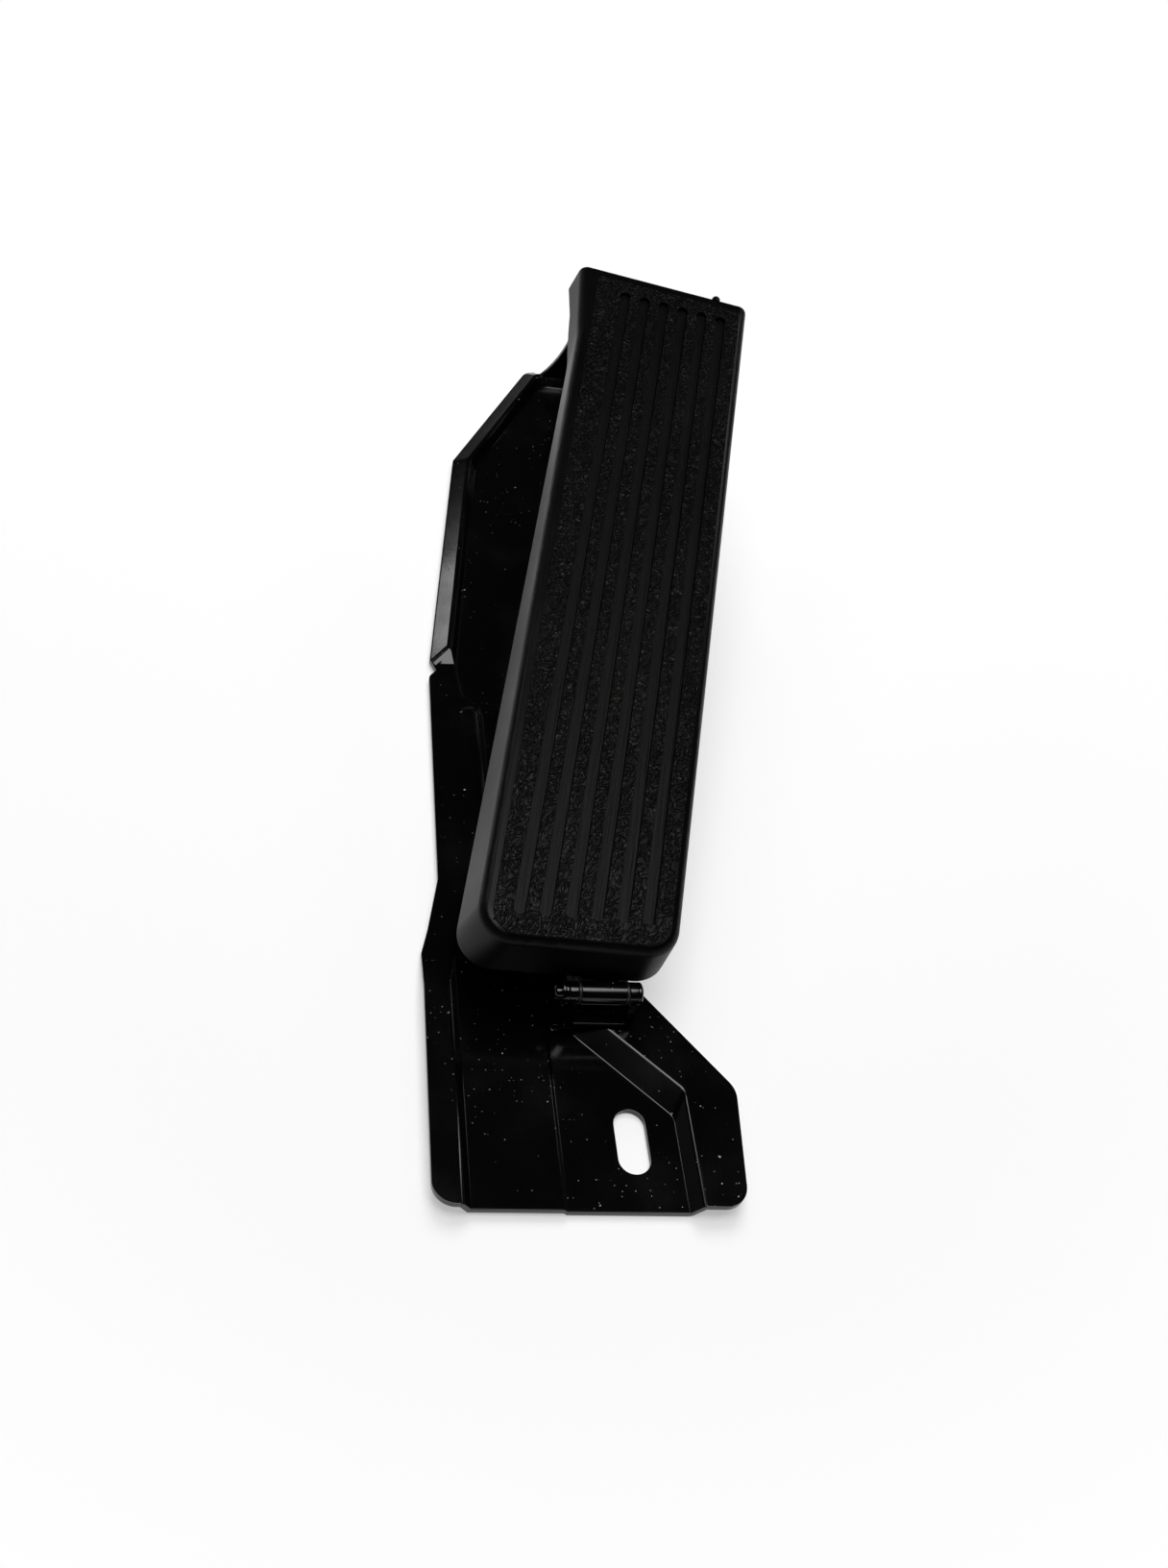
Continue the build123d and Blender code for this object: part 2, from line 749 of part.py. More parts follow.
boss_left = lever_x - boss_lead
lever_left = boss_left - lever_flange - lever_side_gap - lever_ear
lever_right = boss_left + boss_length + lever_flange + lever_side_gap + lever_ear
parts["lever_bracket"] = eared_bracket(
    lever_left, lever_right, lever_ear, lever_foot_front, lever_foot_back, seat_top,
    (lever_y, lever_z), lever_ear_radius, lever_pin_dia + 2 * fixed_fit,
)
lever_washer_x = lever_right + side_play
lever_clip_x = lever_washer_x + washer_thickness + side_play
lever_pin_end = lever_clip_x + clip_thickness + lever_pin_tail
lever_pin = headed_pin(lever_pin_dia, lever_pin_end - lever_left, lever_pin_head_dia, lever_pin_head)
parts["lever_pin"] = at_lever(Pos(lever_pin_end, 0, 0) * Rot(0, -90, 0) * lever_pin)
parts["lever_washer"] = at_lever(
    along_x(ring(lever_pin_head_dia, lever_pin_dia + 2 * fixed_fit, washer_thickness), lever_washer_x)
)
parts["lever_clip"] = at_lever(along_x(open_clip(lever_pin_dia, clip_thickness), lever_clip_x))
parts["throttle_lever"] = on_lever(throttle_lever())
boss = ring(boss_dia, lever_bush_dia + 2 * press_fit, boss_length)
parts["lever_boss"] = on_lever(along_x(boss, boss_left))
parts["lever_bushes"] = on_lever(
    bush_pair(
        lever_bush_dia, lever_pin_dia + 2 * running_fit, lever_bush_length, lever_flange_dia, lever_flange,
        boss_left, boss_length,
    )
)
roller_end = lever_x + lever_thickness / 2
roller_pin_left = roller_x - roller_play
roller_pin = headed_pin(
    roller_pin_dia, roller_end - roller_pin_left + roller_pin_head, roller_pin_head_dia, roller_pin_head
)
parts["roller_pin"] = on_lever(
    Pos(roller_end + roller_pin_head, lever_length, 0) * Rot(0, -90, 0) * roller_pin
)
roller_washer = ring(roller_pin_head_dia, roller_pin_dia + 2 * press_fit, washer_thickness)
parts["roller_washer"] = on_lever(
    Pos(0, lever_length, 0) * along_x(roller_washer, roller_end - lever_thickness - washer_thickness)
)
roller = ring(roller_dia, roller_pin_dia + 2 * running_fit, roller_width)
parts["roller"] = on_lever(Pos(0, lever_length, 0) * along_x(roller, roller_x))
parts["return_spring"] = at_lever(return_spring())

plate_down = hinge_z + (plate_top - plate_thickness) * cos(radians(pedal_rest - pedal_travel))
stop_reach = plate_down + (stop_y - hinge_y) * sin(radians(pedal_rest - pedal_travel))
stop_head_top = stop_reach - stop_gap
bolt = Pos(0, 0, bolt_end) * rod(bolt_dia, stop_head_top - bolt_end)
bolt += hexagon(bolt_flats, bolt_head, stop_head_top - bolt_head)
parts["stop_bolt"] = Pos(stop_x, stop_y, 0) * bolt
nut_hole = bolt_dia + 2 * press_fit
parts["stop_weld_nut"] = Pos(stop_x, stop_y, 0) * (
    hexagon(bolt_flats, weld_nut_height, seat_top) - rod(nut_hole, deep)
)
parts["stop_lock_nut"] = Pos(stop_x, stop_y, 0) * (
    hexagon(bolt_flats, bolt_nut, seat_top + weld_nut_height) - rod(nut_hole, deep)
)

arm_back = lever_eye + (cable_arm_tip - lever_eye) * (screw_z - lever_z) / cable_arm
screw_tip = lever_y + arm_back + stop_gap
screw_length = tongue_back + screw_tail - screw_tip
screw = rod(screw_dia, screw_length)
screw = chamfer(screw.edges().sort_by(Axis.Z)[0], screw_chamfer)
parts["idle_screw"] = Pos(tongue_x, screw_tip, screw_z) * Rot(-90, 0, 0) * screw
parts["idle_lock_nut"] = Pos(tongue_x, tongue_back - sheet - screw_nut, screw_z) * Rot(-90, 0, 0) * (
    hexagon(screw_flats, screw_nut, 0) - rod(screw_dia + 2 * press_fit, screw_nut)
)

os.makedirs("parts", exist_ok=True)
for name, shape in parts.items():
    export_step(shape, f"parts/{name}.step")
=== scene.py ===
"""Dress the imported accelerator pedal: pressed base, rubber pad, hinge and lever on a white studio floor."""

import logging
import math
from dataclasses import dataclass
from enum import Enum

import bmesh
import bpy
from mathutils import Matrix, Vector


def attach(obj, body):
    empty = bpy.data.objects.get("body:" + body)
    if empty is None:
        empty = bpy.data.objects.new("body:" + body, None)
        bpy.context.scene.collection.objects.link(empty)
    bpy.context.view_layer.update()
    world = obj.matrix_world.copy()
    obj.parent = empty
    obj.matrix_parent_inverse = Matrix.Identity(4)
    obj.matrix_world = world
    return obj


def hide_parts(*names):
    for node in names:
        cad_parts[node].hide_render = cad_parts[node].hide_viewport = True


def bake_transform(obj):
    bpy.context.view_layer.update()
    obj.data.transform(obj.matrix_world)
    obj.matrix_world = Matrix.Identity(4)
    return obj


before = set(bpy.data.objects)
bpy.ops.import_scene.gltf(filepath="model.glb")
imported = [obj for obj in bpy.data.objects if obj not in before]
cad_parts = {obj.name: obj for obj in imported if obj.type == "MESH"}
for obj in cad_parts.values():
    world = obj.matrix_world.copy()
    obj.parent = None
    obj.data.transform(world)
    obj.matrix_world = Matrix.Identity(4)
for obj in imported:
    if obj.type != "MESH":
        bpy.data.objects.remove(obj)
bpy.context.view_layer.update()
LOG = logging.getLogger("pedal")
MM = 0.001
ORIGIN = (0.0, 0.0, 0.0)
UPWARD = (0.0, 0.0, 1.0)
UP_THE_PEDAL = (0.0, 1.0, 0.0)
NOISE_MIDDLE = 0.5

Triple = tuple[float, float, float]
Socket = bpy.types.NodeSocket
Feed = Socket | float | tuple[float, ...]


class Slot(Enum):
    """Material slots of the record."""

    PAINT = "black_paint"
    ZINC = "zinc_steel"
    SPRING = "spring_steel"
    NYLON = "nylon"
    RUBBER = "rubber"


class Body(Enum):
    """Bodies that the pieces ride on."""

    BASE = "base"
    PEDAL = "pedal"
    LEVER = "lever"
    ROLLER = "roller"


def shift(mesh: bmesh.types.BMesh, way: Triple) -> None:
    """Move a whole mesh."""
    bmesh.ops.translate(mesh, verts=mesh.verts, vec=way)


def corners_of(items: list) -> list[bmesh.types.BMVert]:
    """Pick the vertices from what an operator made."""
    return [item for item in items if isinstance(item, bmesh.types.BMVert)]


def open_edges(mesh: bmesh.types.BMesh) -> list[bmesh.types.BMEdge]:
    """Pick the edges that border on one face only."""
    return [edge for edge in mesh.edges if edge.is_boundary]


def opaque(source: Feed) -> Feed:
    """Give a colour its alpha, and leave a socket or a number as it is."""
    return (*source, 1.0) if isinstance(source, tuple) else source


@dataclass(frozen=True)
class Band:
    """A smooth step: the value start up to low, and the value end from high on."""

    low: float
    high: float
    start: float = 0.0
    end: float = 1.0


@dataclass(frozen=True)
class Pattern:
    """Noise: waves per metre, octaves of detail, and how far the pattern is pulled about."""

    scale: float
    detail: float = 2.0
    pull: float = 0.0


@dataclass(frozen=True)
class Specks:
    """Scattered specks: cells per metre, and the largest radius as a share of a cell."""

    cells: float
    radius: float


class Nodes:
    """A node tree with short calls to add and join nodes."""

    def __init__(self, tree: bpy.types.NodeTree) -> None:
        """Take over a tree of a material or of the world."""
        self.tree = tree

    def add(self, kind: str, **settings: object) -> bpy.types.Node:
        """Add a node.

        Args:
            kind: Blender's name of the node type.
            settings: Properties to set on the node.

        Returns:
            The new node.
        """
        node = self.tree.nodes.new(kind)
        for key, value in settings.items():
            setattr(node, key, value)
        return node

    def join(self, source: Feed, target: Socket) -> None:
        """Feed a socket from another socket, or set it to a constant.

        Args:
            source: Output socket, number or tuple.
            target: Input socket to feed.
        """
        if isinstance(source, Socket):
            self.tree.links.new(source, target)
        else:
            target.default_value = source

    def math(self, operation: str, first: Feed, second: Feed = 0.0) -> Socket:
        """Combine two numbers.

        Args:
            operation: Name of the Math node's operation.
            first: First socket or number.
            second: Second socket or number.

        Returns:
            The result's socket.
        """
        node = self.add("ShaderNodeMath", operation=operation)
        self.join(first, node.inputs[0])
        self.join(second, node.inputs[1])
        return node.outputs[0]

    def ramp(self, value: Socket, band: Band) -> Socket:
        """Take a value through a smooth step.

        Args:
            value: Socket to map.
            band: The step.

        Returns:
            The mapped value's socket.
        """
        node = self.add("ShaderNodeMapRange", interpolation_type="SMOOTHSTEP")
        for index, number in enumerate((value, band.low, band.high, band.start, band.end)):
            self.join(number, node.inputs[index])
        return node.outputs[0]

    def rays(self, *kinds: str) -> Socket:
        """Tell whether a ray is of one of some kinds.

        Args:
            kinds: Names of the Light Path node's outputs.

        Returns:
            Socket that is 1 for such a ray.
        """
        path = self.add("ShaderNodeLightPath").outputs
        found = path[kinds[0]]
        for kind in kinds[1:]:
            found = self.math("MAXIMUM", found, path[kind])
        return found


class Graph(Nodes):
    """A material's nodes: its shader, and the patterns that lie on the piece."""

    def __init__(self, name: str) -> None:
        """Start a material with one shader.

        Args:
            name: Name of the material.
        """
        self.material = bpy.data.materials.new(name)
        self.material.use_nodes = True
        super().__init__(self.material.node_tree)
        self.tree.nodes.clear()
        self.shader = self.add("ShaderNodeBsdfPrincipled")
        self.surface = self.add("ShaderNodeOutputMaterial").inputs["Surface"]
        self.join(self.shader.outputs["BSDF"], self.surface)
        coordinates = self.add("ShaderNodeTexCoord").outputs
        self.place = coordinates["Object"]
        self.facing = coordinates["Normal"]

    def along(self, direction: Triple, vector: Socket | None = None) -> Socket:
        """Measure a vector along a direction.

        Args:
            direction: Direction to measure along.
            vector: Vector socket, the place on the piece if none is given.

        Returns:
            The length's socket.
        """
        node = self.add("ShaderNodeVectorMath", operation="DOT_PRODUCT")
        self.join(vector or self.place, node.inputs[0])
        self.join(direction, node.inputs[1])
        return node.outputs["Value"]

    def plan(self, first: Vector, second: Vector) -> Socket:
        """Lay out flat coordinates.

        Args:
            first: Direction of the first coordinate, its length as the scale.
            second: Direction of the second coordinate.

        Returns:
            The coordinates' socket.
        """
        node = self.add("ShaderNodeCombineXYZ")
        self.join(self.along(tuple(first)), node.inputs[0])
        self.join(self.along(tuple(second)), node.inputs[1])
        return node.outputs[0]

    def blend(self, share: Feed, first: Feed, second: Feed) -> Socket:
        """Mix two colours.

        Args:
            share: Socket or number, 0 for the first colour and 1 for the second.
            first: First colour or socket.
            second: Second colour or socket.

        Returns:
            The mixed colour's socket.
        """
        node = self.add("ShaderNodeMix", data_type="RGBA")
        # The node keeps its colour sockets behind those for numbers and vectors.
        for source, index in ((share, 0), (first, 6), (second, 7)):
            self.join(opaque(source), node.inputs[index])
        return node.outputs[2]

    def noise(self, pattern: Pattern, place: Socket | None = None) -> Socket:
        """Noise value on the piece.

        Args:
            pattern: The noise.
            place: Coordinates, those of the object if none are given.

        Returns:
            The noise value's socket, around 0.5.
        """
        node = self.add("ShaderNodeTexNoise")
        self.join(place or self.place, node.inputs["Vector"])
        self.join(pattern.scale, node.inputs["Scale"])
        self.join(pattern.detail, node.inputs["Detail"])
        self.join(pattern.pull, node.inputs["Distortion"])
        return node.outputs["Fac"]

    def ridges(self, pattern: Pattern, width: float, place: Socket) -> Socket:
        """Raised lines where a noise passes through its middle.

        Args:
            pattern: The noise.
            width: How far from the middle of the noise a line reaches.
            place: Coordinates.

        Returns:
            The height's socket, 1 on a line.
        """
        fold = self.math("ABSOLUTE", self.math("SUBTRACT", self.noise(pattern, place), NOISE_MIDDLE))
        return self.ramp(fold, Band(width, 0.0))

    def scattered(self, specks: Specks, share: Socket) -> Socket:
        """Specks scattered over the plan, as dust settles.

        Args:
            specks: Size of the specks.
            share: Share of the cells that hold a speck.

        Returns:
            Socket that is 1 on a speck.
        """
        cells = self.add("ShaderNodeTexVoronoi", voronoi_dimensions="2D", feature="F1")
        self.join(self.place, cells.inputs["Vector"])
        self.join(specks.cells, cells.inputs["Scale"])
        split = self.add("ShaderNodeSeparateColor")
        self.join(cells.outputs["Color"], split.inputs[0])
        radius = self.math("MULTIPLY", split.outputs[0], specks.radius)
        held = self.math("LESS_THAN", split.outputs[1], share)
        inside = self.math("LESS_THAN", cells.outputs["Distance"], radius)
        return self.math("MULTIPLY", inside, held)

    def bump(self, height: Socket, depth: float, below: Socket | None = None) -> Socket:
        """Surface relief.

        Args:
            height: Height, where 1 stands for the depth.
            depth: Depth of the relief in metres.
            below: Normal of a relief that this one lies on.

        Returns:
            The normal's socket.
        """
        node = self.add("ShaderNodeBump")
        self.join(height, node.inputs["Height"])
        self.join(depth, node.inputs["Distance"])
        if below is not None:
            self.join(below, node.inputs["Normal"])
        return node.outputs["Normal"]

    def set(self, **sockets: Feed) -> None:
        """Feed the shader's own sockets.

        Args:
            sockets: Socket names with spaces written as underscores, and what feeds them.
        """
        for name, source in sockets.items():
            self.join(opaque(source), self.shader.inputs[name.replace("_", " ")])


@dataclass(frozen=True)
class GlossPaint:
    """Glossy black paint on pressed steel, with orange peel, and dust on the faces that look up."""

    name: str = "gloss_black_paint"
    colour: Triple = (0.0009, 0.0009, 0.0010)
    dust: Triple = (0.42, 0.42, 0.40)
    looks_up: Band = Band(0.6, 0.9)
    dust_share: Band = Band(40.0 * MM, 120.0 * MM, 0.17, 0.068)
    clumps: Pattern = Pattern(24.0, 3.0)
    clump_share: Band = Band(0.42, 0.72, 0.15, 1.0)
    sparse: Specks = Specks(130.0, 0.036)
    middling: Specks = Specks(270.0, 0.052)
    fine: Specks = Specks(620.0, 0.085)
    fine_crowd: float = 1.8
    fine_strength: float = 0.6
    speck_roughness: float = 0.5
    clouds: Pattern = Pattern(38.0, 4.0)
    film: Band = Band(0.5, 0.8, 0.0, 0.005)
    gloss: Band = Band(0.3, 0.75, 0.10, 0.17)
    peel: Pattern = Pattern(620.0)
    peel_depth: float = 0.009 * MM
    refraction: float = 1.5

    def material(self) -> bpy.types.Material:
        """Mix the paint.

        Returns:
            The paint's material.
        """
        graph = Graph(self.name)
        upward = graph.ramp(graph.along(UPWARD, graph.facing), self.looks_up)
        dots = graph.math("MULTIPLY", self.settled(graph), upward)
        cloud = graph.noise(self.clouds)
        film = graph.math("MULTIPLY", graph.ramp(cloud, self.film), upward)
        coat = graph.blend(film, self.colour, self.dust)
        dull = graph.math("MULTIPLY", dots, self.speck_roughness)
        graph.set(
            Base_Color=graph.blend(dots, coat, self.dust),
            Roughness=graph.math("ADD", graph.ramp(cloud, self.gloss), dull),
            Normal=graph.bump(graph.noise(self.peel), self.peel_depth),
            IOR=self.refraction,
        )
        return graph.material

    def settled(self, graph: Graph) -> Socket:
        """Scatter dust of three sizes, most of it on the foot.

        Args:
            graph: The paint's nodes.

        Returns:
            Socket that is 1 on a speck and lower on a fine one.
        """
        share = graph.ramp(graph.along(UP_THE_PEDAL), self.dust_share)
        crowded = graph.math("MULTIPLY", graph.ramp(graph.noise(self.clumps), self.clump_share), share)
        sparse = graph.scattered(self.sparse, share)
        middling = graph.scattered(self.middling, crowded)
        fine = graph.scattered(self.fine, graph.math("MULTIPLY", crowded, self.fine_crowd))
        faint = graph.math("MULTIPLY", fine, self.fine_strength)
        return graph.math("MAXIMUM", sparse, graph.math("MAXIMUM", middling, faint))


@dataclass(frozen=True)
class MouldedRubber:
    """Black rubber: leather grain on the raised tread, drawn streaks in the grooves, plain rim and walls."""

    name: str = "moulded_rubber"
    colour: Triple = (0.0012, 0.0012, 0.0012)
    # Paler colour of the tread: dust, plus a painted shade that leaves the darker colour in the grooves.
    dust_and_groove_shade: Triple = (0.0048, 0.0046, 0.0042)
    tilt: float = 12.5
    cant: float = 11.57
    tread_level: float = 24.531 * MM
    tread_rise: float = 0.4 * MM
    grain_foot: float = 0.15 * MM
    grain_head: float = 0.05 * MM
    groove_edge: float = 0.35 * MM
    groove_floor: float = 0.75 * MM
    face: Band = Band(0.9, 0.99)
    slant: float = 25.0
    stretch: float = 0.5
    folds: Pattern = Pattern(270.0, 1.5, 1.7)
    fold_width: float = 0.11
    creases: Pattern = Pattern(460.0, 1.0, 1.4)
    crease_width: float = 0.10
    crease_height: float = 0.6
    grain_depth: float = 0.30 * MM
    streaks: Pattern = Pattern(42.0, 3.0, 0.2)
    streak_squeeze: float = 30.0
    streak_depth: float = 0.22 * MM
    pores: Pattern = Pattern(2300.0)
    pore_depth: float = 0.012 * MM
    clouds: Pattern = Pattern(26.0, 4.0)
    # Share of the paler colour on the tread. It is at least a quarter even where the rubber is unrubbed, a
    # painted shade that keeps the grooves darker, and rubbed patches add more.
    wear_and_groove_shade: Band = Band(0.45, 0.8, 0.25, 0.7)
    sheen: Band = Band(0.3, 0.7, 0.27, 0.34)
    groove_roughness: float = 0.12
    refraction: float = 1.5
    reflectance: float = 0.15

    def material(self) -> bpy.types.Material:
        """Mix the rubber.

        Returns:
            The rubber's material.
        """
        graph = Graph(self.name)
        canted = Matrix.Rotation(-math.radians(self.cant), 3, "Z")
        across, along, outward = (Matrix.Rotation(math.radians(self.tilt), 3, "X") @ canted).transposed()
        level = graph.along(tuple(outward))
        rim = self.tread_level - self.tread_rise
        grained = graph.ramp(level, Band(rim + self.grain_foot, self.tread_level - self.grain_head))
        sunk = graph.ramp(level, Band(rim - self.groove_edge, rim - self.groove_floor))
        flat_face = graph.ramp(graph.along(tuple(outward), graph.facing), self.face)
        lane = graph.plan(across * self.streak_squeeze, along)
        grooved = graph.math("MULTIPLY", sunk, flat_face)
        streak = graph.math("MULTIPLY", graph.noise(self.streaks, lane), grooved)
        pored = graph.bump(graph.noise(self.pores), self.pore_depth)
        drawn = graph.bump(streak, self.streak_depth, pored)
        relief = graph.math("MULTIPLY", self.grain(graph, across, along), grained)
        cloud = graph.noise(self.clouds)
        # Painted shade: only the raised tread turns paler, so the grooves stay darker. The cloudy patches on
        # the tread are rubbed rubber.
        worn_and_groove_shade = graph.math("MULTIPLY", graph.ramp(cloud, self.wear_and_groove_shade), grained)
        dull = graph.math("MULTIPLY", sunk, self.groove_roughness)
        graph.set(
            Base_Color=graph.blend(worn_and_groove_shade, self.colour, self.dust_and_groove_shade),
            Roughness=graph.math("ADD", graph.ramp(cloud, self.sheen), dull),
            Normal=graph.bump(relief, self.grain_depth, drawn),
            IOR=self.refraction,
            Specular_IOR_Level=self.reflectance,
        )
        return graph.material

    def grain(self, graph: Graph, across: Vector, along: Vector) -> Socket:
        """Draw the leather grain in slanting strokes, folds with finer creases between them.

        Args:
            graph: The rubber's nodes.
            across: Direction across the pad.
            along: Direction along the pad.

        Returns:
            The grain's height.
        """
        lean, rise = math.sin(math.radians(self.slant)), math.cos(math.radians(self.slant))
        strokes = graph.plan(across * rise - along * lean, (across * lean + along * rise) * self.stretch)
        fold = graph.ridges(self.folds, self.fold_width, strokes)
        crease = graph.ridges(self.creases, self.crease_width, strokes)
        return graph.math("ADD", fold, graph.math("MULTIPLY", crease, self.crease_height))


@dataclass(frozen=True)
class PlatedSteel:
    """Bright or dark metal with a mottled finish."""

    name: str
    colour: Triple
    stain: Triple
    polish: Band
    clouds: Pattern = Pattern(160.0, 4.0)
    stained: Band = Band(0.4, 0.7)
    rubbing: Pattern = Pattern(420.0, 3.0)
    pits: Pattern = Pattern(1400.0)
    pit_depth: float = 0.01 * MM

    def material(self) -> bpy.types.Material:
        """Mix the metal.

        Returns:
            The metal's material.
        """
        graph = Graph(self.name)
        stained = graph.ramp(graph.noise(self.clouds), self.stained)
        graph.set(
            Base_Color=graph.blend(stained, self.colour, self.stain),
            Roughness=graph.ramp(graph.noise(self.rubbing), self.polish),
            Normal=graph.bump(graph.noise(self.pits), self.pit_depth),
            Metallic=1.0,
        )
        return graph.material


@dataclass(frozen=True)
class BlackNylon:
    """Black moulded nylon with scuffed patches."""

    name: str = "black_nylon"
    colour: Triple = (0.008, 0.008, 0.009)
    scuff: Triple = (0.022, 0.022, 0.021)
    scuffs: Pattern = Pattern(120.0, 3.0)
    scuffed: Band = Band(0.45, 0.8)
    rubbing: Pattern = Pattern(300.0)
    sheen: Band = Band(0.3, 0.7, 0.36, 0.5)
    pits: Pattern = Pattern(1100.0)
    pit_depth: float = 0.015 * MM
    refraction: float = 1.53

    def material(self) -> bpy.types.Material:
        """Mix the nylon.

        Returns:
            The nylon's material.
        """
        graph = Graph(self.name)
        scuffed = graph.ramp(graph.noise(self.scuffs), self.scuffed)
        graph.set(
            Base_Color=graph.blend(scuffed, self.colour, self.scuff),
            Roughness=graph.ramp(graph.noise(self.rubbing), self.sheen),
            Normal=graph.bump(graph.noise(self.pits), self.pit_depth),
            IOR=self.refraction,
        )
        return graph.material


@dataclass(frozen=True)
class Finishes:
    """The finishes of the pedal, one for each slot."""

    paint: GlossPaint = GlossPaint()
    rubber: MouldedRubber = MouldedRubber()
    nylon: BlackNylon = BlackNylon()
    zinc: PlatedSteel = PlatedSteel(
        "zinc_plate", (0.60, 0.60, 0.58), (0.50, 0.48, 0.42), Band(0.3, 0.7, 0.26, 0.40)
    )
    spring: PlatedSteel = PlatedSteel(
        "spring_steel", (0.16, 0.16, 0.165), (0.10, 0.095, 0.09), Band(0.3, 0.7, 0.28, 0.42)
    )

    def materials(self) -> dict[Slot, bpy.types.Material]:
        """Make every finish once.

        Returns:
            The material of each slot.
        """
        return {
            Slot.PAINT: self.paint.material(),
            Slot.RUBBER: self.rubber.material(),
            Slot.ZINC: self.zinc.material(),
            Slot.SPRING: self.spring.material(),
            Slot.NYLON: self.nylon.material(),
        }


@dataclass
class Workshop:
    """Turns finished meshes into dressed pieces that stand for CAD nodes."""

    materials: dict[Slot, bpy.types.Material]
    smooth_angle: float = 32.0
    crease: float = 38.0
    weld: float = 0.0005 * MM
    flat_angle: float = 0.3
    edge_rows: int = 2

    def dressed(self, node: str, mesh: bmesh.types.BMesh, slot: Slot) -> bpy.types.Object:
        """Make one piece that doesn't ride on anything yet.

        Args:
            node: CAD node that it stands for.
            mesh: Finished mesh in the row frame, freed afterwards.
            slot: Finish of the piece.

        Returns:
            The piece's object.
        """
        data = bpy.data.meshes.new(f"{node}_piece")
        mesh.to_mesh(data)
        mesh.free()
        data.shade_smooth()
        data.set_sharp_from_angle(angle=math.radians(self.smooth_angle))
        data.materials.append(self.materials[slot])
        piece = bpy.data.objects.new(data.name, data)
        bpy.context.scene.collection.objects.link(piece)
        weigh = piece.modifiers.new("even_normals", "WEIGHTED_NORMAL")
        weigh.keep_sharp = True
        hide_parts(node)
        LOG.info("%s: %d faces", data.name, len(data.polygons))
        return piece

    def riding(self, node: str, mesh: bmesh.types.BMesh, slot: Slot, body: Body) -> None:
        """Make one piece that rides on a body.

        Args:
            node: CAD node that it stands for.
            mesh: Finished mesh in the row frame, freed afterwards.
            slot: Finish of the piece.
            body: Body that it rides on.
        """
        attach(self.dressed(node, mesh, slot), body.value)

    def rounded(self, node: str, width: float, speck: float = 0.0) -> bmesh.types.BMesh:
        """Copy a node's solid and round off its sharp edges.

        Args:
            node: CAD node.
            width: Width of the rounding in metres.
            speck: Edges shorter than this are closed first.

        Returns:
            The rounded mesh.
        """
        mesh = bmesh.new()
        mesh.from_mesh(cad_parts[node].data)
        bmesh.ops.remove_doubles(mesh, verts=mesh.verts, dist=self.weld)
        if speck:
            bmesh.ops.dissolve_degenerate(mesh, dist=speck, edges=mesh.edges)
        bmesh.ops.dissolve_limit(
            mesh, angle_limit=math.radians(self.flat_angle), verts=mesh.verts, edges=mesh.edges,
            use_dissolve_boundaries=False,
        )
        bmesh.ops.connect_verts_concave(mesh, faces=mesh.faces)
        sharp = [edge for edge in mesh.edges if edge.calc_face_angle(0.0) > math.radians(self.crease)]
        bmesh.ops.bevel(
            mesh, geom=sharp, offset=width, offset_type="OFFSET", affect="EDGES", segments=self.edge_rows,
            profile=0.5, material=-1, clamp_overlap=False,
        )
        return mesh

    def softened(self, node: str, slot: Slot, body: Body, width: float) -> None:
        """Make a riding piece from a node's solid with its edges rounded off.

        Args:
            node: CAD node.
            slot: Finish of the piece.
            body: Body that it rides on.
            width: Width of the rounding in metres.
        """
        self.riding(node, self.rounded(node, width), slot, body)


@dataclass
class BasePressing:
    """The pressed base with the brackets, pins and clips that are fixed to it."""

    shop: Workshop
    edge: float = 0.2 * MM
    fine_edge: float = 0.15 * MM

    def build(self) -> None:
        """Dress the pieces of the base."""
        for node in ("base_bracket", "hinge_bracket", "lever_bracket"):
            self.shop.softened(node, Slot.PAINT, Body.BASE, self.edge)
        for node in ("hinge_pin", "hinge_washer", "hinge_clip"):
            self.shop.softened(node, Slot.PAINT, Body.BASE, self.fine_edge)
        for node in ("lever_pin", "lever_washer", "lever_clip"):
            self.shop.softened(node, Slot.ZINC, Body.BASE, self.fine_edge)


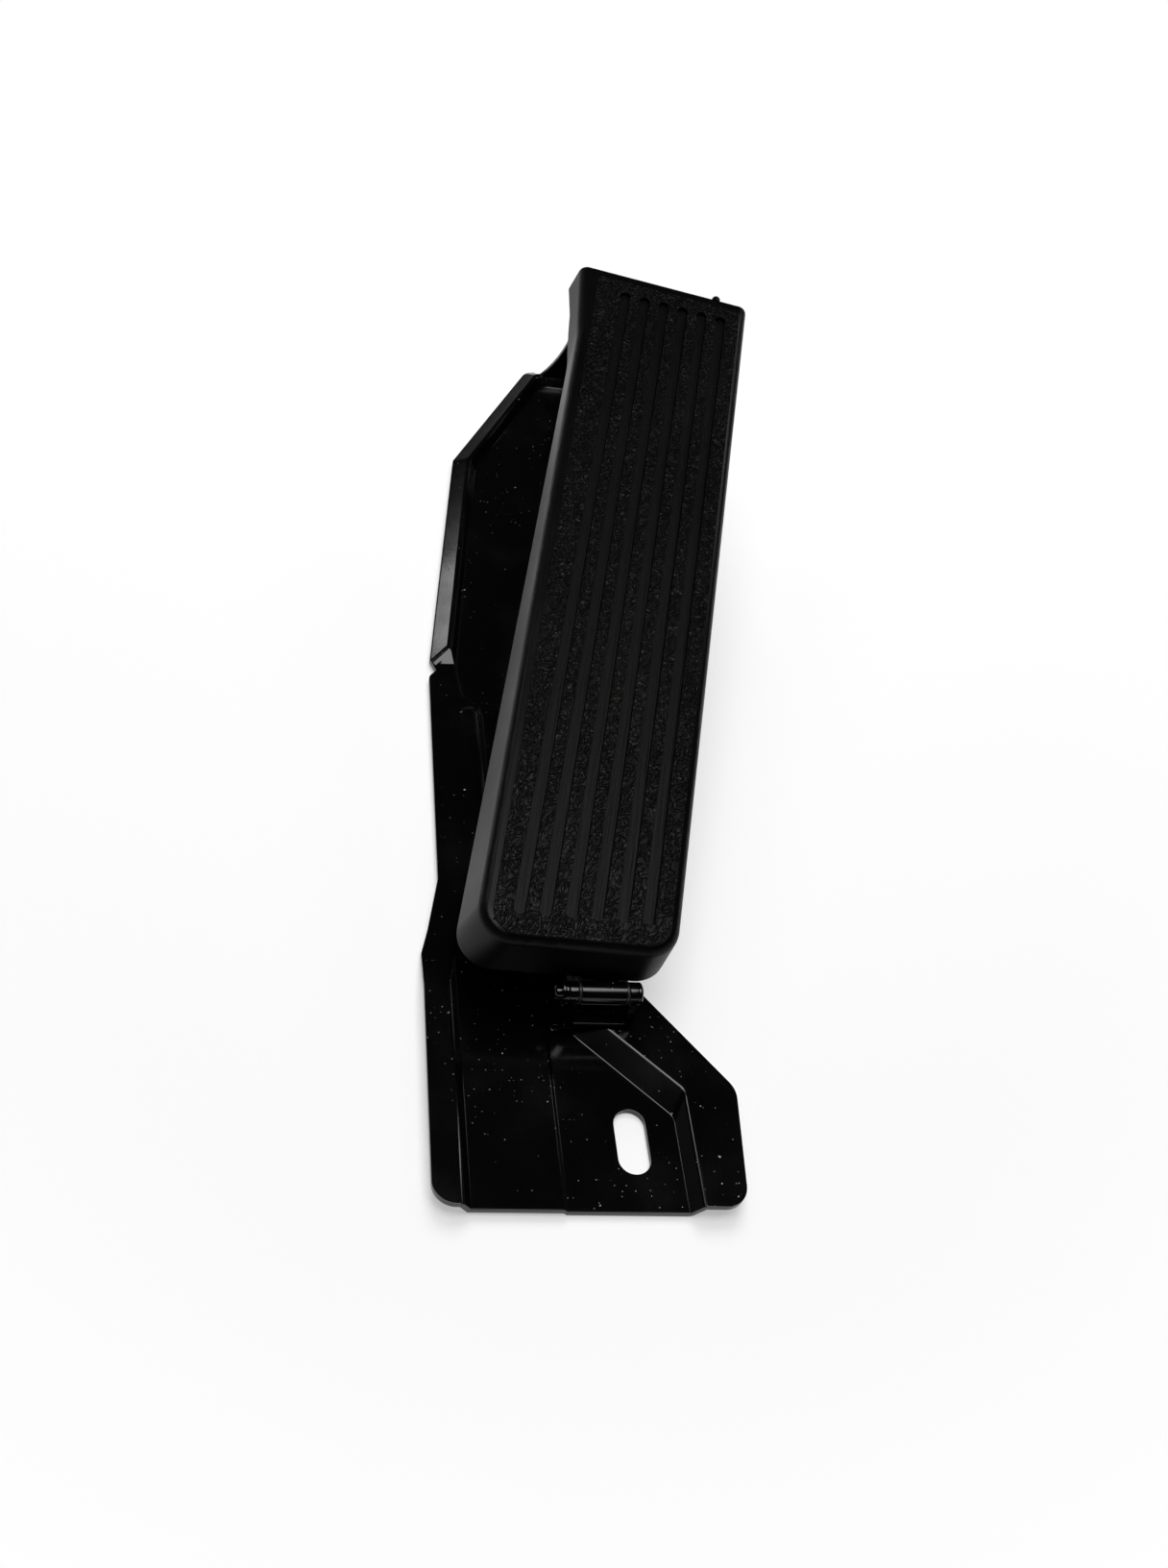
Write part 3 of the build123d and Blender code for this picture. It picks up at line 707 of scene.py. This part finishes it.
@dataclass
class Fasteners:
    """The full-throttle bolt and the idle screw with their hexagon nuts."""

    shop: Workshop
    bolt_place: tuple[float, float] = (0.0, 200.0 * MM)
    bolt_size: float = 8.0 * MM
    bolt_pitch: float = 1.25 * MM
    bolt_end: float = 0.6 * MM
    bolt_top: float = 27.839 * MM
    bolt_head: float = 5.3 * MM
    bolt_flats: float = 13.0 * MM
    weld_nut: tuple[float, float] = (2.0 * MM, 6.0 * MM)
    lock_nut: tuple[float, float] = (8.0 * MM, 6.5 * MM)
    screw_place: Triple = (30.0 * MM, 350.3 * MM, 29.0 * MM)
    screw_size: float = 6.0 * MM
    screw_pitch: float = 1.0 * MM
    screw_length: float = 25.0 * MM
    screw_taper: float = 1.2 * MM
    screw_nut: tuple[float, float] = (361.8 * MM, 5.0 * MM)
    screw_flats: float = 10.0 * MM
    thread_depth: float = 0.61
    thread_crest: tuple[float, float] = (-0.56, -0.44)
    thread_weld: float = 0.005 * MM
    steps: int = 28
    flat_cuts: int = 3
    bore_sides: int = 24
    corner: float = 0.08
    corner_reach: float = 0.99

    def build(self) -> None:
        """Make the bolt, the screw and the nuts."""
        x, y = self.bolt_place
        shank = self.bolt_top - self.bolt_head / 2 - self.bolt_end
        bolt = self.thread(self.bolt_size, self.bolt_pitch, shank)
        shift(bolt, (0.0, 0.0, self.bolt_end))
        self.add_hexagon(bolt, self.bolt_flats, self.bolt_head, self.bolt_top - self.bolt_head)
        shift(bolt, (x, y, 0.0))
        self.shop.riding("stop_bolt", bolt, Slot.ZINC, Body.BASE)
        for node, (low, height), slot in (
            ("stop_weld_nut", self.weld_nut, Slot.PAINT), ("stop_lock_nut", self.lock_nut, Slot.ZINC),
        ):
            nut = bmesh.new()
            self.add_hexagon(nut, self.bolt_flats, height, low, self.bolt_size)
            shift(nut, (x, y, 0.0))
            self.shop.riding(node, nut, slot, Body.BASE)
        self.idle_stop()

    def idle_stop(self) -> None:
        """Make the idle screw and its lock nut, which lie along +Y."""
        screw = self.thread(self.screw_size, self.screw_pitch, self.screw_length)
        for corner in screw.verts:
            room = self.screw_size / 2 - self.screw_taper + corner.co.z
            across = math.hypot(corner.co.x, corner.co.y)
            if across > room:
                corner.co.xy *= room / across
        nut = bmesh.new()
        low, height = self.screw_nut
        self.add_hexagon(nut, self.screw_flats, height, low - self.screw_place[1], self.screw_size)
        laid = Matrix.Rotation(-math.pi / 2, 3, "X")
        for node, mesh in (("idle_screw", screw), ("idle_lock_nut", nut)):
            bmesh.ops.rotate(mesh, verts=mesh.verts, cent=ORIGIN, matrix=laid)
            shift(mesh, self.screw_place)
            self.shop.riding(node, mesh, Slot.ZINC, Body.BASE)

    def thread(self, size: float, pitch: float, length: float) -> bmesh.types.BMesh:
        """Cut a threaded rod along +Z from the origin.

        Args:
            size: Diameter over the crests.
            pitch: Rise of one turn.
            length: Length of the rod.

        Returns:
            The closed rod.
        """
        mesh = bmesh.new()
        crest, root = size / 2, size / 2 - self.thread_depth * pitch
        outline = ((root, -1.0), *((crest, share) for share in self.thread_crest), (root, 0.0))
        corners = [mesh.verts.new((radius, 0.0, share * pitch)) for radius, share in outline]
        edges = [mesh.edges.new(pair) for pair in zip(corners, corners[1:])]
        turns = math.ceil(length / pitch) + 1
        bmesh.ops.spin(
            mesh, geom=[*corners, *edges], cent=ORIGIN, axis=UPWARD, dvec=(0.0, 0.0, pitch / self.steps),
            angle=math.tau * turns, steps=self.steps * turns, use_merge=False,
        )
        bmesh.ops.remove_doubles(mesh, verts=mesh.verts, dist=self.thread_weld)
        for level, way in ((0.0, -1.0), (length, 1.0)):
            bmesh.ops.bisect_plane(
                mesh, geom=[*mesh.verts, *mesh.edges, *mesh.faces], plane_co=(0.0, 0.0, level),
                plane_no=(0.0, 0.0, way), clear_outer=True,
            )
        bmesh.ops.holes_fill(mesh, edges=open_edges(mesh), sides=0)
        bmesh.ops.recalc_face_normals(mesh, faces=mesh.faces)
        return mesh

    def add_hexagon(
        self, mesh: bmesh.types.BMesh, flats: float, height: float, low: float, hole: float = 0.0
    ) -> None:
        """Add a hexagon head or nut about the Z axis, with its corners cut back.

        Args:
            mesh: Mesh that it is added to.
            flats: Width across the flats.
            height: Height.
            low: Z of its underside.
            hole: Diameter of its bore, none for a head.
        """
        part = bmesh.new()
        radius = flats / math.sqrt(3.0)
        turn = Matrix.Translation((0.0, 0.0, low)) @ Matrix.Rotation(math.pi / 2, 4, "Z")
        bmesh.ops.create_circle(part, radius=radius, segments=6, matrix=turn)
        bmesh.ops.subdivide_edges(part, edges=part.edges, cuts=self.flat_cuts)
        if hole:
            bmesh.ops.create_circle(part, radius=hole / 2, segments=self.bore_sides, matrix=turn)
            bmesh.ops.bridge_loops(part, edges=part.edges)
        else:
            bmesh.ops.contextual_create(part, geom=part.edges)
        lid = bmesh.ops.extrude_face_region(part, geom=part.faces, use_keep_orig=True)["geom"]
        bmesh.ops.translate(part, verts=corners_of(lid), vec=(0.0, 0.0, height))
        bmesh.ops.recalc_face_normals(part, faces=part.faces)
        reach = self.corner_reach * radius
        points = [corner for corner in part.verts if math.hypot(corner.co.x, corner.co.y) > reach]
        bmesh.ops.bevel(
            part, geom=points, offset=self.corner * flats, offset_type="OFFSET", affect="VERTICES",
            segments=1, profile=0.5, material=-1, clamp_overlap=True,
        )
        data = bpy.data.meshes.new("hexagon")
        part.to_mesh(data)
        part.free()
        mesh.from_mesh(data)
        bpy.data.meshes.remove(data)


class WireRun:
    """Round wire that grows from its open end, one straight or bend at a time."""

    def __init__(self, radius: float, place: Vector, along: Vector, sides: int = 14) -> None:
        """Start the wire with a closed end.

        Args:
            radius: Radius of the wire.
            place: Middle of its end.
            along: Direction in which it leaves.
            sides: Sides of its section.
        """
        self.mesh = bmesh.new()
        turn = Matrix.Translation(place) @ along.to_track_quat("Z", "Y").to_matrix().to_4x4()
        bmesh.ops.create_circle(self.mesh, cap_ends=True, radius=radius, segments=sides, matrix=turn)
        self.rim: list[bmesh.types.BMEdge] = list(self.mesh.edges)

    def straight(self, run: Vector) -> None:
        """Draw the wire on in a straight line.

        Args:
            run: How far and which way it goes.
        """
        grown = bmesh.ops.extrude_edge_only(self.mesh, edges=self.rim)["geom"]
        bmesh.ops.translate(self.mesh, verts=corners_of(grown), vec=run)
        self.rim = open_edges(self.mesh)

    def bend(self, centre: Vector, axis: Vector, angle: float, steps: int, rise: float = 0.0) -> None:
        """Bend the wire about an axis.

        Args:
            centre: Point on the axis.
            axis: Direction of the axis.
            angle: Angle of the bend in radians.
            steps: Number of steps.
            rise: How far the wire climbs along the axis.
        """
        ends = {corner for edge in self.rim for corner in edge.verts}
        bmesh.ops.spin(
            self.mesh, geom=[*ends, *self.rim], cent=centre, axis=axis, dvec=axis * (rise / steps),
            angle=angle, steps=steps, use_merge=False,
        )
        self.rim = open_edges(self.mesh)

    def closed(self) -> bmesh.types.BMesh:
        """Close the open end.

        Returns:
            The finished wire.
        """
        bmesh.ops.edgeloop_fill(self.mesh, edges=self.rim)
        bmesh.ops.recalc_face_normals(self.mesh, faces=self.mesh.faces)
        return self.mesh


@dataclass
class ReturnSpring:
    """Torsion spring on the lever's boss: a hooked arm in the lever, the coil, and a foot on the bracket."""

    shop: Workshop
    pivot: tuple[float, float] = (342.0 * MM, 15.0 * MM)
    wire: float = 1.8 * MM
    coil_radius: float = 8.4 * MM
    pitch: float = 2.0 * MM
    whole_turns: int = 4
    near: float = 33.8 * MM
    arm_slope: float = 169.2054
    arm_length: float = 34.0 * MM
    hook_end: float = 27.1 * MM
    hook_bend: float = 1.7 * MM
    hook_steps: int = 8
    foot_slope: float = 6.0
    foot_length: float = 12.4 * MM
    steps: int = 30

    def build(self) -> None:
        """Wind the spring, with its hooked arm at the lever and its foot on the bracket."""
        arm, foot = math.radians(self.arm_slope), math.radians(self.foot_slope)
        turns = self.whole_turns - (math.tau + foot - arm) / math.tau
        inward = Vector((0.0, -math.cos(arm), -math.sin(arm)))
        outward = Vector((0.0, -math.cos(foot), -math.sin(foot)))
        sideways = Vector((1.0, 0.0, 0.0))
        axis = Vector((self.near, *self.pivot))
        start = axis + Vector((0.0, math.sin(arm), -math.cos(arm))) * self.coil_radius
        corner = start - inward * self.arm_length
        tip = Vector((self.hook_end, corner.y, corner.z))
        run = WireRun(self.wire / 2, tip, sideways)
        run.straight(sideways * (self.near - self.hook_bend - self.hook_end))
        middle = corner + (inward - sideways) * self.hook_bend
        run.bend(middle, sideways.cross(inward), math.pi / 2, self.hook_steps)
        run.straight(inward * (self.arm_length - self.hook_bend))
        run.bend(axis, sideways, -math.tau * turns, round(self.steps * turns), turns * self.pitch)
        run.straight(outward * self.foot_length)
        piece = self.shop.dressed("return_spring", run.closed(), Slot.SPRING)
        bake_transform(piece)


@dataclass
class PedalArm:
    """The swinging pedal: plate, hinge tube, track and rubber pad."""

    shop: Workshop
    edge: float = 0.2 * MM
    fine_edge: float = 0.12 * MM
    speck: float = 0.05 * MM
    nub_place: Triple = (52.6 * MM, 296.0 * MM, 89.7 * MM)
    nub_size: float = 1.6 * MM
    nub_detail: int = 3

    def build(self) -> None:
        """Dress the pieces of the pedal."""
        for node in ("pedal_plate", "hinge_tube"):
            self.shop.softened(node, Slot.PAINT, Body.PEDAL, self.edge)
        self.shop.softened("hinge_bushes", Slot.NYLON, Body.PEDAL, self.fine_edge)
        self.shop.softened("roller_track", Slot.ZINC, Body.PEDAL, self.edge)
        self.pad()

    def pad(self) -> None:
        """Round the pad's edges and leave the moulding nub on its toe end."""
        mesh = self.shop.rounded("rubber_pad", self.fine_edge, self.speck)
        place = Matrix.Translation(self.nub_place)
        bmesh.ops.create_icosphere(mesh, subdivisions=self.nub_detail, radius=self.nub_size, matrix=place)
        self.shop.riding("rubber_pad", mesh, Slot.RUBBER, Body.PEDAL)


@dataclass
class ThrottleCrank:
    """The throttle lever with its boss, bushes and roller."""

    shop: Workshop
    edge: float = 0.2 * MM
    fine_edge: float = 0.15 * MM

    def build(self) -> None:
        """Dress the pieces of the lever."""
        for node in ("throttle_lever", "lever_boss"):
            self.shop.softened(node, Slot.PAINT, Body.LEVER, self.edge)
        self.shop.softened("lever_bushes", Slot.NYLON, Body.LEVER, self.fine_edge)
        for node in ("roller_pin", "roller_washer"):
            self.shop.softened(node, Slot.ZINC, Body.LEVER, self.fine_edge)
        self.shop.softened("roller", Slot.NYLON, Body.ROLLER, self.edge)


@dataclass(frozen=True)
class Lamp:
    """One soft lamp with a flat panel, which glossy surfaces may mirror."""

    name: str
    place: Triple
    size: tuple[float, float]
    watts: float
    mirrored: bool = True

    def hang(self, aim: Triple) -> None:
        """Hang the lamp.

        Args:
            aim: Point that it shines at.
        """
        light = bpy.data.lights.new(self.name, "AREA")
        light.shape = "RECTANGLE"
        light.size, light.size_y = self.size
        light.energy = self.watts
        lamp = bpy.data.objects.new(self.name, light)
        lamp.location = self.place
        lamp.rotation_euler = (Vector(aim) - Vector(self.place)).to_track_quat("-Z", "Y").to_euler()
        lamp.visible_glossy = self.mirrored
        bpy.context.scene.collection.objects.link(lamp)


@dataclass
class Studio:
    """White floor, soft lamps and the camera at the photograph's place."""

    lens_px: float = 1500.0
    frame_px: tuple[int, int] = (1216, 1632)
    sensor_mm: float = 36.0
    near_clip: float = 10.0 * MM
    eye: Triple = (-0.1090, -0.1828, 0.3429)
    right: Triple = (0.9708, -0.1141, 0.2110)
    up: Triple = (-0.0569, 0.7448, 0.6649)
    floor_size: float = 60.0
    floor_colour: Triple = (0.97, 0.97, 0.97)
    floor_roughness: float = 0.9
    middle: Triple = (0.0, 0.17, 0.0)
    floor_glow: Band = Band(0.17, 0.33, 0.4, 1.0)
    room_light: Band = Band(0.02, 0.30, 0.10, 0.012)
    lamps: tuple[Lamp, ...] = (
        Lamp("ceiling", (0.12, 1.45, 1.75), (1.3, 1.3), 29.0, mirrored=False),
        Lamp("softbox", (-0.05, 0.04, 2.00), (1.50, 1.06), 23.0),
        Lamp("window", (-1.16, 2.26, 0.86), (0.18, 0.22), 0.55),
        Lamp("left_strip", (-1.00, 0.98, 1.50), (0.25, 0.50), 1.6),
        Lamp("right_strip", (1.25, 1.10, 1.25), (0.25, 0.50), 1.6),
    )

    def build(self) -> None:
        """Set up the floor, the world, the lamps and the camera."""
        self.floor()
        self.world()
        for lamp in self.lamps:
            lamp.hang(self.middle)
        self.camera()

    def floor(self) -> None:
        """Lay the white floor, which glows where it is seen, less round the pedal to keep its shadow."""
        mesh = bmesh.new()
        bmesh.ops.create_grid(mesh, x_segments=1, y_segments=1, size=self.floor_size / 2)
        data = bpy.data.meshes.new("floor")
        mesh.to_mesh(data)
        mesh.free()
        graph = Graph("white_floor")
        graph.set(Base_Color=self.floor_colour, Roughness=self.floor_roughness, Specular_IOR_Level=0.0)
        seen = graph.rays("Is Camera Ray", "Is Glossy Ray", "Is Transmission Ray")
        reach = graph.add("ShaderNodeVectorMath", operation="DISTANCE")
        graph.join(graph.place, reach.inputs[0])
        graph.join(self.middle, reach.inputs[1])
        glow = graph.ramp(reach.outputs["Value"], self.floor_glow)
        mix = graph.add("ShaderNodeMixShader")
        graph.join(graph.math("MULTIPLY", seen, glow), mix.inputs[0])
        graph.join(graph.shader.outputs["BSDF"], mix.inputs[1])
        graph.join(graph.add("ShaderNodeEmission").outputs[0], mix.inputs[2])
        graph.join(mix.outputs[0], graph.surface)
        data.materials.append(graph.material)
        floor = bpy.data.objects.new("floor", data)
        bpy.context.scene.collection.objects.link(floor)

    def world(self) -> None:
        """Make the room white to the camera, and dim with a paler horizon where it is mirrored."""
        world = bpy.data.worlds.new("room")
        bpy.context.scene.world = world
        world.use_nodes = True
        room = Nodes(world.node_tree)
        split = room.add("ShaderNodeSeparateXYZ")
        room.join(room.add("ShaderNodeTexCoord").outputs["Generated"], split.inputs[0])
        light = room.ramp(split.outputs["Z"], self.room_light)
        mirrored = room.math("MULTIPLY", room.rays("Is Glossy Ray", "Is Transmission Ray"), light)
        sky = room.tree.nodes["Background"].inputs
        room.join(room.math("ADD", mirrored, room.rays("Is Camera Ray")), sky["Color"])
        room.join(1.0, sky["Strength"])

    def camera(self) -> None:
        """Set the camera at the photograph's place."""
        data = bpy.data.cameras.new("camera")
        data.sensor_width = self.sensor_mm
        data.lens = self.lens_px * self.sensor_mm / max(self.frame_px)
        data.clip_start = self.near_clip
        right, up = Vector(self.right).normalized(), Vector(self.up).normalized()
        back = right.cross(up).normalized()
        up = back.cross(right)
        turn = Matrix((right, up, back)).transposed().to_4x4()
        camera = bpy.data.objects.new("camera", data)
        camera.matrix_world = Matrix.Translation(self.eye) @ turn
        bpy.context.scene.collection.objects.link(camera)
        bpy.context.scene.camera = camera


def main() -> None:
    """Build the pedal's pieces in order, then the studio."""
    logging.basicConfig(level=logging.INFO)
    shop = Workshop(Finishes().materials())
    pedal = (BasePressing(shop), Fasteners(shop), ReturnSpring(shop), PedalArm(shop), ThrottleCrank(shop))
    for group in (*pedal, Studio()):
        group.build()
        LOG.info("%s done", type(group).__name__)
    bpy.context.scene.view_settings.view_transform = "Standard"


if __name__ == "__main__":
    main()
